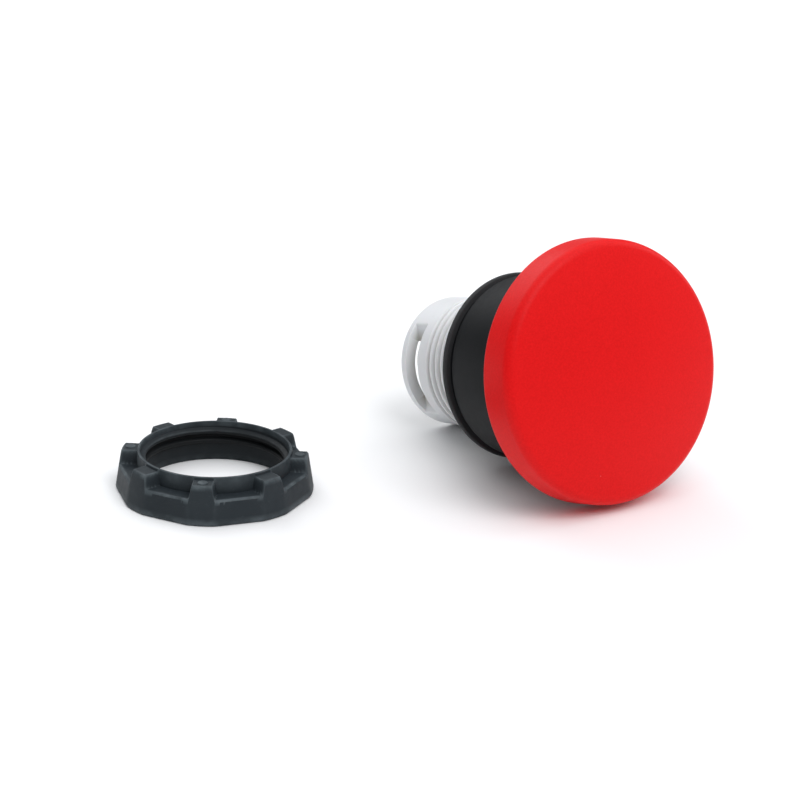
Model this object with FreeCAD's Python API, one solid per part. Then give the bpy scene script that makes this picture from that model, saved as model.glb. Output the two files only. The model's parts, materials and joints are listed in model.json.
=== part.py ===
"""Push-pull emergency stop head for a 22 mm panel hole, lying on a bench beside its loose mounting nut.

Millimetres. The head is modelled along its own axis: z = 0 is the face that seats on the panel, +z points
out of the panel towards the operator, and -z is the tail behind the panel. The nut is modelled standing on
its clamping face. The last section lays both on the bench, which is z = 0 of the finished part.
"""
import FreeCAD, Part
import math
import os
from FreeCAD import Placement, Rotation, Vector

# ---------------------------------------------------------------- driving dimensions
# Mushroom cap
CAP_RADIUS = 20.0
CAP_RIM_HEIGHT = 18.5          # open rim above the seat face, head released
CAP_SIDE_HEIGHT = 5.6          # rim to the foot of the crown
CAP_SIDE_DRAFT = 0.3           # radius lost over the side
CAP_CROWN_RISE = 2.0
CAP_EDGE_RADIUS = 1.6          # round between side and crown
CAP_WALL = 1.8
CAP_RIB_COUNT = 8
CAP_RIB_THICKNESS = 1.2
GUSSET_GAP = 0.7               # between the side's gussets and the collar
GUSSET_RISE = 0.8              # of the gussets' feet above the open rim

# Travel of the head, released to latched
TRAVEL = 5.0

# Collar
COLLAR_RADIUS = 14.2
COLLAR_WALL = 1.45
COLLAR_DRAFT = 0.2
COLLAR_LIP_THICKNESS = 1.5
COLLAR_SHADOW_GROOVE = 0.4     # undercut beside the gasket
COLLAR_SHADOW_HEIGHT = 0.9
COLLAR_EDGE_RADIUS = 0.4

# Panel gasket
GASKET_THICKNESS = 1.0
GASKET_OVERHANG = 0.4          # how far it stands outside the collar
GASKET_EDGE_RADIUS = 0.3

# Threaded body
NECK_RADIUS = 11.1             # plain length that centres in the panel's hole
NECK_LENGTH = 2.2
THREAD_CREST_RADIUS = 10.9
THREAD_DEPTH = 0.75
THREAD_PITCH = 1.5
THREAD_ROOT_HALF = 0.54        # half the width of a groove's mouth, or of a ridge's foot
THREAD_CREST_HALF = 0.18       # half the width of a groove's floor, or of a ridge's top
THREAD_END = 10.3              # depth behind the seat face where the thread stops
THREAD_RUNOUT = 0.3            # cone between the thread and the tail
THREAD_START = 0.7             # first groove's centre behind the neck
TAIL_RADIUS = 10.4
TAIL_LENGTH = 18.2             # depth behind the seat face
TAIL_WALL = 1.8
FLANGE_THICKNESS = 1.6
FLANGE_SEAL_THICKNESS = 0.5
WEB_FRONT = 1.5                # guide web, above the seat face
WEB_REAR = 4.0                 # guide web, behind the seat face
NECK_WALL = 2.5                # under the flange, neck to spring
SPRING_TUBE_WALL = 1.4
WINDOW_WIDTH = 3.2             # bayonet windows in the tail, along the axis
WINDOW_REAR_WALL = 1.6
WINDOW_DEPTH = 3.0             # of the windows' flat floor, from the tail's surface

# Plunger
SHAFT_RADIUS = 5.2
SHAFT_BORE_RADIUS = 3.3
SHAFT_REAR = 9.0               # depth of the shaft's end behind the seat face
PLUNGER_SKIRT_WALL = 2.3
PLUNGER_PLATE_THICKNESS = 2.0
PLUNGER_PLATE_RISE = 2.5       # plate's top above the cap's rim
SCREW_WEB_THICKNESS = 2.0
SCREW_WEB_DEPTH = 7.0          # web's rear below the plate's top
BOSS_RADIUS = 3.7
KEY_WIDTH = 2.6
DETENT_DEPTH = 0.8
DETENT_HEIGHT = -4.5           # plane of the latch spring, from the seat face

# Clearances
SLIDE_CLEARANCE = 0.15         # shaft in its guide web
PISTON_CLEARANCE = 0.25        # plunger skirt in the collar
ASSEMBLY_CLEARANCE = 0.1
FIT_CLEARANCE = 0.05
STOP_GAP = 0.4                 # left between the plunger and the flange, head latched
COLLAR_STOP_GAP = 0.8          # left between the collar and the cap's ceiling, head latched
TUBE_GAP = 1.5                 # left between the spring tube and the plunger's plate, head latched

# Small parts
RING_SEAL_SECTION = 0.58       # section radius of the plunger's ring seal
RING_SEAL_PLACE = 3.0          # from the skirt's rear end
WIPER_THICKNESS = 0.9
WIPER_GROOVE_DEPTH = 0.6
WIPER_INSET = 0.7              # behind the collar's front face
COIL_WIRE_RADIUS = 0.5
COIL_TURNS = 6.5
LATCH_WIRE_RADIUS = 0.5
LATCH_BOW_OFFSET = 1.5
LATCH_END_GAP = 0.71           # between the legs' ends and the tail's bore
WASHER_THICKNESS = 0.5
KEEPER_THICKNESS = 2.4
KEEPER_POST_RADIUS = 0.6
CIRCLIP_THICKNESS = 0.8
CIRCLIP_GROOVE_DEPTH = 0.5
CIRCLIP_BAND = 1.4
CIRCLIP_GAP_ANGLE = 44.0
CIRCLIP_EAR_RADIUS = 0.95
CIRCLIP_EAR_HOLE_RADIUS = 0.45
CIRCLIP_EAR_SHARE = 0.3        # of an ear's radius, how far it stands into the band
CIRCLIP_EAR_ANGLE = 7.0        # from the end of the gap to an ear's centre
SCREW_RADIUS = 1.25
SCREW_HEAD_RADIUS = 2.75
SCREW_HEAD_HEIGHT = 1.8
SCREW_LENGTH = 7.0
SCREW_WASHER_THICKNESS = 0.6
INSERT_RADIUS = 2.2
INSERT_LENGTH = 6.0
INSERT_WAIST_DEPTH = 0.3
INSERT_WAIST_HALF = 0.6        # half the length of the insert's waist
SCREW_TIP_ROOM = 1.0           # left in the boss beyond the insert
SCREW_HEAD_EDGE = 0.6          # round on the screw's head
SCREW_SLOT_LENGTH = 2.6
SCREW_SLOT_WIDTH = 0.6
SCREW_SLOT_DEPTH = 1.0
WASHER_SPLIT = 0.3
ACTUATOR_CLEARANCE = 1.2       # disc in the tail
ACTUATOR_DISC_THICKNESS = 1.6
ACTUATOR_PLUG_LENGTH = 4.0
ACTUATOR_LEG_SETBACK = 0.4     # of the legs' ends inside the tail's end
ACTUATOR_LEG_ANGLE = 100.0
ACTUATOR_LEG_WALL = 1.5
ACTUATOR_PLUG_CHAMFER = 0.6
DRAIN_RADIUS = 1.0             # two holes through the disc
DRAIN_INSET = 1.6              # of their centres from the disc's edge

# Mounting nut
NUT_HEIGHT = 6.4
NUT_BASE_RADIUS = 15.0
NUT_DRAFT = 0.16               # radius lost for each millimetre of height
NUT_FLAT_SHARE = 0.969         # distance of the eight flats from the axis, as a share of the radius
NUT_LEDGE_HEIGHT = 3.9
NUT_RIM_RADIUS = 11.9
NUT_RIM_DRAFT = 0.3
NUT_RIM_EDGE = 0.15
NUT_LUG_COUNT = 8
NUT_LUG_HEIGHT = 6.0
NUT_LUG_BASE_WIDTH = 3.7
NUT_LUG_TOP_WIDTH = 3.2
NUT_COUNTERBORE_RADIUS = 11.25
NUT_COUNTERBORE_DEPTH = 2.7
NUT_MINOR_RADIUS = 10.35
NUT_LEAD_RADIUS = 11.25
NUT_LEAD_DEPTH = 0.6
NUT_PIP_RADIUS = 0.75          # raised mark on every second lug
NUT_PIP_HEIGHT = 0.15
NUT_PIP_GAP = 0.15             # between the mark and the rim

# Places on the bench
REST_EDGE_RADIUS = 0.4         # cap rim and tail end, the two edges that the head lies on
NUT_SIDE_OFFSET = 48.45        # nut axis from the head's axis, to its left
NUT_BACK_OFFSET = 10.8         # nut axis behind the seat face's centre
NUT_TURN = 53.0                # degrees

SMALL = 1e-4
OVERCUT = 0.5                  # how far cutting tools stand proud of what they cut

# ---------------------------------------------------------------- sizes that follow from those above
collar_bore = COLLAR_RADIUS - COLLAR_WALL
collar_rear = GASKET_THICKNESS
collar_lip_top = collar_rear + COLLAR_LIP_THICKNESS
cap_side_top = CAP_RIM_HEIGHT + CAP_SIDE_HEIGHT
cap_apex = cap_side_top + CAP_CROWN_RISE
cap_top_radius = CAP_RADIUS - CAP_SIDE_DRAFT
plate_top = CAP_RIM_HEIGHT + PLUNGER_PLATE_RISE
plate_underside = plate_top - PLUNGER_PLATE_THICKNESS
skirt_radius = collar_bore - PISTON_CLEARANCE
skirt_bore = skirt_radius - PLUNGER_SKIRT_WALL
flange_rear = collar_lip_top + FLANGE_SEAL_THICKNESS
flange_top = flange_rear + FLANGE_THICKNESS
flange_radius = collar_bore - ASSEMBLY_CLEARANCE
skirt_low = flange_top + TRAVEL + STOP_GAP
seal_radius = collar_bore - RING_SEAL_SECTION - FIT_CLEARANCE
seal_height = skirt_low + RING_SEAL_PLACE
screw_web_rear = plate_top - SCREW_WEB_DEPTH
boss_seat = screw_web_rear + SCREW_WEB_THICKNESS
boss_bore = BOSS_RADIUS + ASSEMBLY_CLEARANCE
neck_bore = NECK_RADIUS + FIT_CLEARANCE
neck_root = THREAD_CREST_RADIUS - FIT_CLEARANCE
tail_bore = TAIL_RADIUS - TAIL_WALL
guide_bore = SHAFT_RADIUS + SLIDE_CLEARANCE
spring_tube_bore = neck_root - NECK_WALL
spring_tube_radius = spring_tube_bore + SPRING_TUBE_WALL
spring_tube_top = plate_underside - TRAVEL - TUBE_GAP
coil_mean_radius = (SHAFT_RADIUS + spring_tube_bore) / 2
key_inner_radius = spring_tube_bore + PISTON_CLEARANCE
key_rear = skirt_low + 2 * ASSEMBLY_CLEARANCE
actuator_disc_radius = tail_bore - ACTUATOR_CLEARANCE
spring_floor = WEB_FRONT + WASHER_THICKNESS
keeper_front = -WEB_REAR - 2 * LATCH_WIRE_RADIUS - ASSEMBLY_CLEARANCE
keeper_rear = keeper_front - KEEPER_THICKNESS
circlip_front = keeper_rear - FIT_CLEARANCE
circlip_rear = circlip_front - CIRCLIP_THICKNESS
keeper_bore = SHAFT_RADIUS + 4 * ASSEMBLY_CLEARANCE
latch_leg_offset = SHAFT_RADIUS - DETENT_DEPTH + LATCH_WIRE_RADIUS * math.sqrt(2) + FIT_CLEARANCE
latch_leg_end = math.sqrt((tail_bore - LATCH_END_GAP) ** 2 - (latch_leg_offset + LATCH_WIRE_RADIUS) ** 2)


# ---------------------------------------------------------------- helpers
def ring(inner, outer, low, high):
    """A plain ring, or a disc where inner is 0, about the z axis."""
    solid = Part.makeCylinder(outer, high - low, Vector(0, 0, low))
    if inner > 0:
        solid = solid.cut(Part.makeCylinder(inner, high - low, Vector(0, 0, low)))
    return solid


def turned(points):
    """The solid of revolution of a closed outline of (radius, height) points."""
    outline = [Vector(r, 0, z) for r, z in points]
    face = Part.Face(Part.makePolygon(outline + outline[:1]))
    return face.revolve(Vector(0, 0, 0), Vector(0, 0, 1), 360)


def dome(radius, low, shoulder_radius, shoulder, rise):
    """A solid of revolution with a drafted side and a spherical crown."""
    apex = shoulder + rise
    sphere = (shoulder_radius ** 2 + rise ** 2) / (2 * rise)
    half = shoulder_radius / 2
    middle = apex - sphere + math.sqrt(sphere ** 2 - half ** 2)
    corners = [Vector(0, 0, apex), Vector(0, 0, low), Vector(radius, 0, low)]
    corners.append(Vector(shoulder_radius, 0, shoulder))
    edges = [Part.makeLine(a, b) for a, b in zip(corners, corners[1:])]
    edges.append(Part.Arc(corners[3], Vector(half, 0, middle), corners[0]).toShape())
    return Part.Face(Part.Wire(edges)).revolve(Vector(0, 0, 0), Vector(0, 0, 1), 360)


def circles(shape, radius, height):
    """The full-circle edges of that radius about the z axis, at that height."""
    found = []
    for edge in shape.Edges:
        if edge.Degenerated or not isinstance(edge.Curve, Part.Circle):
            continue
        centre = edge.Curve.Center
        if abs(edge.Curve.Radius - radius) + abs(centre.z - height) + abs(centre.x) < SMALL:
            found.append(edge)
    return found


def around(shape, count, start=0.0):
    """Copies of a shape, evenly spaced about the z axis."""
    copies = []
    for i in range(count):
        copy = shape.copy()
        copy.rotate(Vector(0, 0, 0), Vector(0, 0, 1), start + 360.0 * i / count)
        copies.append(copy)
    return copies


def wedge(radius, angle, low, high):
    """A pie slice centred on the x axis, for cutting gaps and keeping segments."""
    slab = Part.makeCylinder(radius, high - low, Vector(0, 0, low), Vector(0, 0, 1), angle)
    slab.rotate(Vector(0, 0, 0), Vector(0, 0, 1), -angle / 2)
    return slab


def swept(path, profile):
    """A closed profile swept along a path into one solid."""
    return Part.Wire(path).makePipeShell([profile], True, True)


def helical_groove(surface, low, high):
    """The cutter for an outside thread groove: a trapezoid swept up a helix."""
    proud = 0.2
    slope = (THREAD_ROOT_HALF - THREAD_CREST_HALF) / THREAD_DEPTH
    half_mouth = THREAD_ROOT_HALF + slope * proud
    floor = surface - THREAD_DEPTH
    corners = [Vector(surface + proud, 0, -half_mouth), Vector(floor, 0, -THREAD_CREST_HALF),
               Vector(floor, 0, THREAD_CREST_HALF), Vector(surface + proud, 0, half_mouth)]
    cutter = swept(Part.makeHelix(THREAD_PITCH, high - low, surface), Part.makePolygon(corners + corners[:1]))
    cutter.translate(Vector(0, 0, low))
    return cutter


def coil(mean_radius, wire_radius, low, high, turns):
    """A compression spring whose two ends are ground flat."""
    pitch = (high - low) / turns
    helix = Part.makeHelix(pitch, high - low, mean_radius)
    section = Part.Wire(Part.makeCircle(wire_radius, Vector(mean_radius, 0, 0), Vector(0, 1, 0)))
    spring = swept(helix, section)
    spring.translate(Vector(0, 0, low))
    outside = mean_radius + 2 * wire_radius
    return spring.common(Part.makeCylinder(outside, high - low, Vector(0, 0, low)))


# ---------------------------------------------------------------- the moving head
def mushroom_cap():
    """Red cap: a drafted skirt and a shallow crown over a boss and two sets of ribs."""
    outside = dome(CAP_RADIUS, CAP_RIM_HEIGHT, cap_top_radius, cap_side_top, CAP_CROWN_RISE)
    outside = outside.makeFillet(CAP_EDGE_RADIUS, circles(outside, cap_top_radius, cap_side_top))
    outside = outside.makeFillet(REST_EDGE_RADIUS, circles(outside, CAP_RADIUS, CAP_RIM_HEIGHT))
    shell = outside.cut(cap_inside(CAP_WALL, CAP_RIM_HEIGHT - OVERCUT))

    inner_rib = Part.makeBox(skirt_radius - 3 * ASSEMBLY_CLEARANCE, CAP_RIB_THICKNESS, cap_apex - plate_top,
                             Vector(0, -CAP_RIB_THICKNESS / 2, plate_top))
    gusset_start = COLLAR_RADIUS + GUSSET_GAP
    gusset_low = CAP_RIM_HEIGHT + GUSSET_RISE
    gusset = Part.makeBox(CAP_RADIUS - gusset_start, CAP_RIB_THICKNESS, cap_apex - gusset_low,
                          Vector(gusset_start, -CAP_RIB_THICKNESS / 2, gusset_low))
    boss = ring(0, BOSS_RADIUS, boss_seat + FIT_CLEARANCE, cap_apex)
    ribs = around(inner_rib, CAP_RIB_COUNT) + around(gusset, CAP_RIB_COUNT) + [boss]
    embedded = cap_inside(CAP_WALL / 2, CAP_RIM_HEIGHT - CAP_EDGE_RADIUS - OVERCUT)
    low_boss = ring(0, BOSS_RADIUS, boss_seat + FIT_CLEARANCE, CAP_RIM_HEIGHT)
    shell = shell.fuse([rib.common(embedded) for rib in ribs] + [low_boss])
    hole = ring(0, INSERT_RADIUS, boss_seat - OVERCUT, boss_seat + INSERT_LENGTH + FIT_CLEARANCE)
    relief_top = boss_seat + INSERT_LENGTH + SCREW_TIP_ROOM
    tip_relief = ring(0, SCREW_RADIUS + ASSEMBLY_CLEARANCE, boss_seat, relief_top)
    return shell.cut([hole, tip_relief]).removeSplitter()


def cap_inside(depth, low):
    """The room inside the cap's surface at a depth below it, down to the given height."""
    return dome(CAP_RADIUS - depth, low, cap_top_radius - depth, cap_side_top - depth, CAP_CROWN_RISE)


def cap_insert():
    """Brass insert moulded into the cap's boss, with two knurled bands."""
    low = boss_seat + FIT_CLEARANCE
    high = boss_seat + INSERT_LENGTH
    body = ring(SCREW_RADIUS + FIT_CLEARANCE, INSERT_RADIUS, low, high)
    middle = (low + high) / 2
    waist = ring(INSERT_RADIUS - INSERT_WAIST_DEPTH, INSERT_RADIUS + OVERCUT,
                 middle - INSERT_WAIST_HALF, middle + INSERT_WAIST_HALF)
    return body.cut(waist)


def screw_washer():
    """Split lock washer under the cap screw's head."""
    low = screw_web_rear - SCREW_WASHER_THICKNESS
    washer = ring(SCREW_RADIUS + ASSEMBLY_CLEARANCE, SCREW_HEAD_RADIUS - ASSEMBLY_CLEARANCE,
                  low, screw_web_rear)
    split = Part.makeBox(SCREW_HEAD_RADIUS, WASHER_SPLIT, SCREW_WASHER_THICKNESS + 2 * OVERCUT,
                         Vector(0, -WASHER_SPLIT / 2, low - OVERCUT))
    return washer.cut(split)


def cap_screw():
    """Pan head screw that pulls the cap onto the plunger; its cross recess is reached through the shaft."""
    seat = screw_web_rear - SCREW_WASHER_THICKNESS
    shank = ring(0, SCREW_RADIUS, seat - SMALL, seat + SCREW_LENGTH)
    head = ring(0, SCREW_HEAD_RADIUS, seat - SCREW_HEAD_HEIGHT, seat)
    head = head.makeFillet(SCREW_HEAD_EDGE, circles(head, SCREW_HEAD_RADIUS, seat - SCREW_HEAD_HEIGHT))
    low = seat - SCREW_HEAD_HEIGHT - OVERCUT
    slot = Part.makeBox(SCREW_SLOT_LENGTH, SCREW_SLOT_WIDTH, SCREW_SLOT_DEPTH + OVERCUT,
                        Vector(-SCREW_SLOT_LENGTH / 2, -SCREW_SLOT_WIDTH / 2, low))
    cross = [slot] + around(slot, 1, 90.0)
    return head.fuse(shank).cut(cross).removeSplitter()


def detent_groove(height):
    """A 90 degree groove cutter around the shaft."""
    floor = SHAFT_RADIUS - DETENT_DEPTH
    reach = DETENT_DEPTH + OVERCUT
    return turned([(floor, height), (floor + reach, height - reach), (floor + reach, height + reach)])


def plunger():
    """Piston and hollow shaft in one moulding, with two keys and the two latch grooves."""
    shaft_end = -SHAFT_REAR
    screw_hole = SCREW_RADIUS + 4 * ASSEMBLY_CLEARANCE
    solid = turned([
        (SHAFT_BORE_RADIUS, shaft_end), (SHAFT_RADIUS, shaft_end), (SHAFT_RADIUS, plate_underside),
        (skirt_bore, plate_underside), (skirt_bore, skirt_low), (skirt_radius, skirt_low),
        (skirt_radius, plate_top), (boss_bore, plate_top), (boss_bore, boss_seat),
        (screw_hole, boss_seat), (screw_hole, screw_web_rear), (SHAFT_BORE_RADIUS, screw_web_rear)])
    key_depth = skirt_bore - key_inner_radius + OVERCUT
    key = Part.makeBox(key_depth, KEY_WIDTH, plate_underside - key_rear + OVERCUT,
                       Vector(key_inner_radius, -KEY_WIDTH / 2, key_rear))
    solid = solid.fuse(around(key, 2))
    seal_half = RING_SEAL_SECTION + ASSEMBLY_CLEARANCE
    seal_floor = seal_radius - RING_SEAL_SECTION - FIT_CLEARANCE / 2
    seal_groove = ring(seal_floor, skirt_radius + OVERCUT, seal_height - seal_half, seal_height + seal_half)
    grooves = [detent_groove(DETENT_HEIGHT), detent_groove(DETENT_HEIGHT + TRAVEL)]
    return solid.cut([seal_groove] + grooves).removeSplitter()


def plunger_ring_seal():
    """Rubber ring in the plunger's groove, which just clears the collar's bore."""
    return Part.makeTorus(seal_radius, RING_SEAL_SECTION, Vector(0, 0, seal_height))


def contact_actuator():
    """Disc that plugs the shaft's end, with two curved legs behind the windows that push the contact blocks."""
    top = -SHAFT_REAR
    disc_low = top - ACTUATOR_DISC_THICKNESS
    leg_low = ACTUATOR_LEG_SETBACK - TAIL_LENGTH
    disc = ring(0, actuator_disc_radius, disc_low, top)
    plug = ring(0, SHAFT_BORE_RADIUS - FIT_CLEARANCE, top - SMALL, top + ACTUATOR_PLUG_LENGTH)
    tip = circles(plug, SHAFT_BORE_RADIUS - FIT_CLEARANCE, top + ACTUATOR_PLUG_LENGTH)
    plug = plug.makeChamfer(ACTUATOR_PLUG_CHAMFER, tip)
    leg_ring = ring(actuator_disc_radius - ACTUATOR_LEG_WALL, actuator_disc_radius, leg_low, disc_low)
    leg = leg_ring.common(wedge(actuator_disc_radius + OVERCUT, ACTUATOR_LEG_ANGLE, leg_low, disc_low))
    drain = ring(0, DRAIN_RADIUS, disc_low - OVERCUT, top + OVERCUT)
    drain.translate(Vector(actuator_disc_radius - DRAIN_INSET, 0, 0))
    return disc.fuse([plug] + around(leg, 2)).cut(around(drain, 2, 90.0)).removeSplitter()


# ---------------------------------------------------------------- the fixed head
def collar():
    """Black bezel tube with an inward lip that the body's flange clamps to the panel."""
    front = collar_front()
    base = COLLAR_RADIUS - COLLAR_SHADOW_GROOVE
    shoulder = collar_rear + COLLAR_SHADOW_HEIGHT
    solid = turned([
        (NECK_RADIUS + ASSEMBLY_CLEARANCE, collar_rear), (base, collar_rear), (COLLAR_RADIUS, shoulder),
        (COLLAR_RADIUS - COLLAR_DRAFT, front), (collar_bore, front), (collar_bore, collar_lip_top),
        (NECK_RADIUS + ASSEMBLY_CLEARANCE, collar_lip_top)])
    solid = solid.makeFillet(COLLAR_EDGE_RADIUS, circles(solid, COLLAR_RADIUS - COLLAR_DRAFT, front))
    low, high = wiper_span()
    return solid.cut(ring(0, collar_bore + WIPER_GROOVE_DEPTH + FIT_CLEARANCE, low - FIT_CLEARANCE,
                          high + FIT_CLEARANCE))


def wiper_span():
    """Rear and front heights of the wiper ring."""
    high = collar_front() - WIPER_INSET
    return high - WIPER_THICKNESS, high


def wiper_ring():
    """Rubber wiper in the collar's mouth, which keeps dust off the plunger."""
    low, high = wiper_span()
    return ring(skirt_radius + FIT_CLEARANCE, collar_bore + WIPER_GROOVE_DEPTH, low, high)


def collar_front():
    """The collar stops short of the cap's ceiling with the head pressed in."""
    sphere = (cap_top_radius ** 2 + CAP_CROWN_RISE ** 2) / (2 * CAP_CROWN_RISE)
    drop = sphere - math.sqrt(sphere ** 2 - COLLAR_RADIUS ** 2)
    ceiling = cap_apex - drop - CAP_WALL
    return ceiling - TRAVEL - COLLAR_STOP_GAP


def panel_gasket():
    """Rubber ring between the collar and the panel, a little larger than the collar."""
    outer = COLLAR_RADIUS + GASKET_OVERHANG
    solid = ring(neck_bore, outer, 0, GASKET_THICKNESS)
    edges = circles(solid, outer, 0) + circles(solid, outer, GASKET_THICKNESS)
    return solid.makeFillet(GASKET_EDGE_RADIUS, edges)


def flange_seal():
    """Flat rubber washer between the body's flange and the collar's lip."""
    return ring(neck_root + FIT_CLEARANCE, flange_radius - ASSEMBLY_CLEARANCE, collar_lip_top, flange_rear)


def window():
    """Cutter for one flat-floored bayonet window on the +x side of the tail."""
    rear = -TAIL_LENGTH + WINDOW_REAR_WALL
    reach = 2 * TAIL_RADIUS
    return Part.makeBox(reach, 2 * reach, WINDOW_WIDTH, Vector(TAIL_RADIUS - WINDOW_DEPTH, -reach, rear))


def threaded_body():
    """Light grey body: flange and spring tube in front, threaded neck, and the open tail with its windows."""
    solid = turned([
        (guide_bore, -WEB_REAR), (tail_bore, -WEB_REAR), (tail_bore, -TAIL_LENGTH),
        (TAIL_RADIUS, -TAIL_LENGTH), (TAIL_RADIUS, -THREAD_END - THREAD_RUNOUT),
        (THREAD_CREST_RADIUS, -THREAD_END), (THREAD_CREST_RADIUS, -NECK_LENGTH),
        (NECK_RADIUS, -NECK_LENGTH), (NECK_RADIUS, 0), (neck_root, 0), (neck_root, flange_rear),
        (flange_radius, flange_rear), (flange_radius, flange_top),
        (spring_tube_radius, flange_top), (spring_tube_radius, spring_tube_top),
        (spring_tube_bore, spring_tube_top), (spring_tube_bore, WEB_FRONT), (guide_bore, WEB_FRONT)])
    solid = solid.makeFillet(REST_EDGE_RADIUS, circles(solid, TAIL_RADIUS, -TAIL_LENGTH))
    groove_low = -THREAD_END - THREAD_PITCH
    groove_high = -NECK_LENGTH - THREAD_START
    thread = helical_groove(THREAD_CREST_RADIUS, groove_low, groove_high)
    below_thread = ring(TAIL_RADIUS - OVERCUT, NECK_RADIUS + OVERCUT, groove_low - THREAD_PITCH,
                        -THREAD_END - THREAD_RUNOUT)
    thread = thread.cut(below_thread)
    circlip_groove = ring(0, tail_bore + CIRCLIP_GROOVE_DEPTH, circlip_rear - FIT_CLEARANCE,
                          circlip_front + FIT_CLEARANCE)
    slot_width = KEY_WIDTH + 4 * ASSEMBLY_CLEARANCE
    slot_low = flange_top + 2 * ASSEMBLY_CLEARANCE
    slot_reach = spring_tube_radius + OVERCUT
    key_slot = Part.makeBox(2 * slot_reach, slot_width, spring_tube_top - slot_low + OVERCUT,
                            Vector(-slot_reach, -slot_width / 2, slot_low))
    return solid.cut([thread, circlip_groove, key_slot] + around(window(), 2)).removeSplitter()


def spring_seat_washer():
    """Steel washer under the return spring."""
    inner = guide_bore + 2 * ASSEMBLY_CLEARANCE
    return ring(inner, spring_tube_bore - ASSEMBLY_CLEARANCE, WEB_FRONT, spring_floor)


def return_spring():
    """Coil spring that pushes the released head out."""
    return coil(coil_mean_radius, COIL_WIRE_RADIUS, spring_floor, plate_underside - FIT_CLEARANCE, COIL_TURNS)


def latch_spring():
    """Hairpin of spring wire whose legs snap from one shaft groove to the other."""
    height = DETENT_HEIGHT
    x = latch_leg_offset
    bow = LATCH_BOW_OFFSET
    ends = [Vector(x, -latch_leg_end, height), Vector(-x, -latch_leg_end, height)]
    turns = [Vector(x, bow, height), Vector(-x, bow, height)]
    path = [Part.makeLine(ends[0], turns[0]),
            Part.Arc(turns[0], Vector(0, bow + x, height), turns[1]).toShape(),
            Part.makeLine(turns[1], ends[1])]
    section = Part.Wire(Part.makeCircle(LATCH_WIRE_RADIUS, ends[0], Vector(0, 1, 0)))
    return swept(path, section)


def latch_keeper():
    """Ring behind the latch spring, with two posts that keep the spring square."""
    solid = ring(keeper_bore, tail_bore - ASSEMBLY_CLEARANCE, keeper_rear, keeper_front)
    post_height = 2 * LATCH_WIRE_RADIUS - ASSEMBLY_CLEARANCE
    post = ring(0, KEEPER_POST_RADIUS, keeper_front - SMALL, keeper_front + post_height)
    reach = latch_leg_offset + LATCH_WIRE_RADIUS + KEEPER_POST_RADIUS + 3 * ASSEMBLY_CLEARANCE
    posts = []
    for side in (-1, 1):
        copy = post.copy()
        copy.translate(Vector(side * reach, -LATCH_BOW_OFFSET, 0))
        posts.append(copy)
    return solid.fuse(posts).removeSplitter()


def retaining_ring():
    """Internal circlip with two eared ends, which holds the keeper in the tail."""
    outer = tail_bore + CIRCLIP_GROOVE_DEPTH - FIT_CLEARANCE
    inner = outer - CIRCLIP_BAND
    band = ring(inner, outer, circlip_rear, circlip_front)
    low = circlip_rear - OVERCUT
    high = circlip_front + OVERCUT
    band = band.cut(wedge(outer + OVERCUT, CIRCLIP_GAP_ANGLE, low, high))
    reach = inner - CIRCLIP_EAR_RADIUS * CIRCLIP_EAR_SHARE
    turn = CIRCLIP_GAP_ANGLE / 2 + CIRCLIP_EAR_ANGLE
    pieces = []
    holes = []
    for side in (-1, 1):
        angle = math.radians(side * turn)
        centre = Vector(reach * math.cos(angle), reach * math.sin(angle), 0)
        ear = ring(0, CIRCLIP_EAR_RADIUS, circlip_rear, circlip_front)
        ear.translate(centre)
        hole = ring(0, CIRCLIP_EAR_HOLE_RADIUS, low, high)
        hole.translate(centre)
        pieces.append(ear)
        holes.append(hole)
    clip = band.fuse(pieces).cut(holes).removeSplitter()
    clip.rotate(Vector(0, 0, 0), Vector(0, 0, 1), -90)
    return clip


# ---------------------------------------------------------------- the loose nut
def octagon(radius, height):
    """A closed eight-sided wire whose flats lie between the lugs."""
    corner = radius / math.cos(math.pi / 8)
    points = [Vector(corner * math.cos(i * math.pi / 4), corner * math.sin(i * math.pi / 4), height)
              for i in range(8)]
    return Part.makePolygon(points + points[:1])


def nut_lug():
    """One drive lug on the +x side: a trapezoid seen from outside, trimmed later by the nut's outside."""
    half_base = NUT_LUG_BASE_WIDTH / 2
    half_top = NUT_LUG_TOP_WIDTH / 2
    inner = NUT_RIM_RADIUS - 2 * NUT_RIM_DRAFT
    low = NUT_LEDGE_HEIGHT - OVERCUT
    ledge = NUT_LEDGE_HEIGHT
    corners = [Vector(inner, -half_base, low), Vector(inner, half_base, low), Vector(inner, half_base, ledge),
               Vector(inner, half_top, NUT_LUG_HEIGHT), Vector(inner, -half_top, NUT_LUG_HEIGHT),
               Vector(inner, -half_base, ledge)]
    face = Part.Face(Part.makePolygon(corners + corners[:1]))
    return face.extrude(Vector(NUT_BASE_RADIUS - inner + OVERCUT, 0, 0))


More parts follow.
